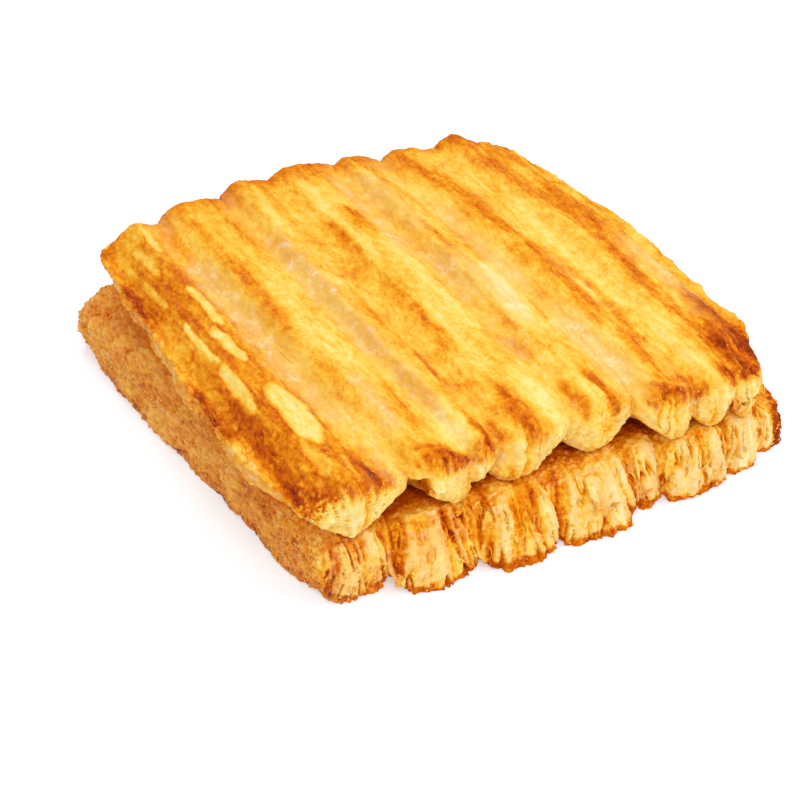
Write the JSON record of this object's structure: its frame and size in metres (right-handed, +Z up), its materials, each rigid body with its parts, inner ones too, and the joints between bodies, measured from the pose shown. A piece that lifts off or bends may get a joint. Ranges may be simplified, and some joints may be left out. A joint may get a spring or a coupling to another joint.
{
  "type": "filled palmier",
  "caption": "Filled palmier: two slabs of caramelised puff-pastry ribbons, one laid on the other, with a thin sheet of filling between them.",
  "frame": {"origin": "middle of the object's footprint, on the plane it rests on", "axes": "+Z up; +Y along the pastry ribbons, from the cut ends that face the viewer to the far ends; +X across the ribbons"},
  "size_m": [0.1094, 0.1192, 0.0276],
  "materials": {
    "lower_crust": "baked, sugared and grainy",
    "upper_crust": "baked, caramelised, glossy in the hollows",
    "filling": "wet caramel"
  },
  "bodies": {
    "root": {"lower_pastry": "lower_crust", "upper_pastry": "upper_crust", "filling": "filling"}
  },
  "joints": []
}
